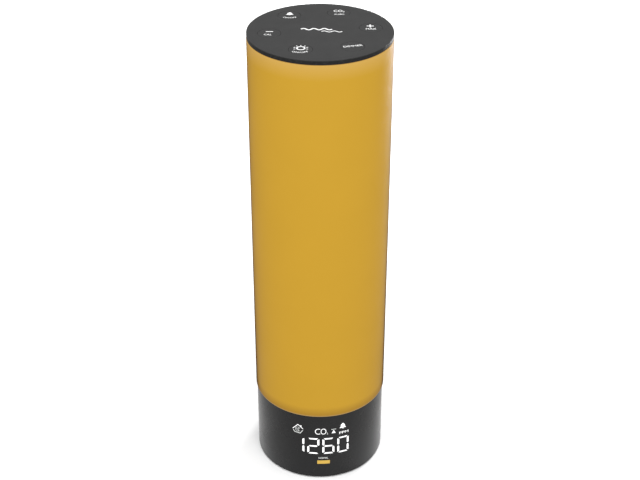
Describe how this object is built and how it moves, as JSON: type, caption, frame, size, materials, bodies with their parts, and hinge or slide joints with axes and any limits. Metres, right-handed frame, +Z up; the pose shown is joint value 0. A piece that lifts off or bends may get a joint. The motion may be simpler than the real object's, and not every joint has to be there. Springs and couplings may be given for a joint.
{
  "type": "carbon dioxide monitor",
  "caption": "Column-shaped carbon dioxide monitor: dark base with an LED display and air slots, tall amber-lit opal tube, and a thin dark cap with six round push buttons.",
  "frame": {"origin": "centre of the circle of feet, on the surface that the monitor stands on", "axes": "+Z up along the column, the display faces -Y, +X to the right when facing the display"},
  "size_m": [0.072, 0.072, 0.254],
  "materials": {
    "smoked_housing": "smooth dark satin, lets the display shine through",
    "cap_plastic": "fine matt texture",
    "black_plastic": "matt",
    "opal_tube": "satin opal, lit amber from inside",
    "white_plastic": "satin",
    "printed_film": "printed",
    "rubber": "matt",
    "plated_steel": "zinc plated",
    "aluminium": "drawn",
    "gold_plated_cell": "plated",
    "circuit_board": "solder mask",
    "led_board": "white solder mask with LEDs",
    "membrane": "porous sheet",
    "cable_jacket": "satin"
  },
  "bodies": {
    "housing": {"base_housing": "smoked_housing", "base_plate": "black_plastic", "rubber_foot_1": "rubber", "rubber_foot_2": "rubber", "rubber_foot_3": "rubber", "rubber_foot_4": "rubber", "base_screw_1": "plated_steel", "base_screw_2": "plated_steel", "base_screw_3": "plated_steel", "base_screw_4": "plated_steel", "main_board": "circuit_board", "microcontroller": "black_plastic", "usb_socket": "plated_steel", "buzzer": "black_plastic", "capacitor": "aluminium", "co2_sensor_pins": "black_plastic", "co2_sensor_board": "circuit_board", "co2_sensor_chamber": "gold_plated_cell", "co2_sensor_filter": "membrane", "display_board": "circuit_board", "display_reflector": "white_plastic", "display_film": "printed_film", "light_column": "white_plastic", "led_board_right": "led_board", "led_board_rear": "led_board", "led_board_left": "led_board", "led_board_front": "led_board", "column_foot_screw_1": "plated_steel", "column_foot_screw_2": "plated_steel", "column_top_screw_1": "plated_steel", "column_top_screw_2": "plated_steel", "button_board_carrier": "white_plastic", "button_board": "circuit_board", "carrier_screw_1": "plated_steel", "carrier_screw_2": "plated_steel", "carrier_screw_3": "plated_steel", "tact_switch_plus": "black_plastic", "tact_switch_co2_alarm": "black_plastic", "tact_switch_bell": "black_plastic", "tact_switch_minus": "black_plastic", "tact_switch_light": "black_plastic", "tact_switch_dimmer": "black_plastic", "top_cap": "cap_plastic", "cable_plug_lower": "white_plastic", "cable_plug_upper": "white_plastic", "column_cable": "cable_jacket", "diffuser_tube": "opal_tube"},
    "plus_button": {"button_plus": "cap_plastic", "switch_plunger_plus": "white_plastic"},
    "co2_alarm_button": {"button_co2_alarm": "cap_plastic", "switch_plunger_co2_alarm": "white_plastic"},
    "bell_button": {"button_bell": "cap_plastic", "switch_plunger_bell": "white_plastic"},
    "minus_button": {"button_minus": "cap_plastic", "switch_plunger_minus": "white_plastic"},
    "light_button": {"button_light": "cap_plastic", "switch_plunger_light": "white_plastic"},
    "dimmer_button": {"button_dimmer": "cap_plastic", "switch_plunger_dimmer": "white_plastic"}
  },
  "joints": [
    {"name": "press_plus", "type": "slide", "parent": "housing", "child": "plus_button", "axis": [0, 0, -1], "range_m": [0, 0.0005], "stiffness_N_per_m": 1500, "springref_m": -0.0003},
    {"name": "press_co2_alarm", "type": "slide", "parent": "housing", "child": "co2_alarm_button", "axis": [0, 0, -1], "range_m": [0, 0.0005], "stiffness_N_per_m": 1500, "springref_m": -0.0003},
    {"name": "press_bell", "type": "slide", "parent": "housing", "child": "bell_button", "axis": [0, 0, -1], "range_m": [0, 0.0005], "stiffness_N_per_m": 1500, "springref_m": -0.0003},
    {"name": "press_minus", "type": "slide", "parent": "housing", "child": "minus_button", "axis": [0, 0, -1], "range_m": [0, 0.0005], "stiffness_N_per_m": 1500, "springref_m": -0.0003},
    {"name": "press_light", "type": "slide", "parent": "housing", "child": "light_button", "axis": [0, 0, -1], "range_m": [0, 0.0005], "stiffness_N_per_m": 1500, "springref_m": -0.0003},
    {"name": "press_dimmer", "type": "slide", "parent": "housing", "child": "dimmer_button", "axis": [0, 0, -1], "range_m": [0, 0.0005], "stiffness_N_per_m": 1500, "springref_m": -0.0003}
  ]
}
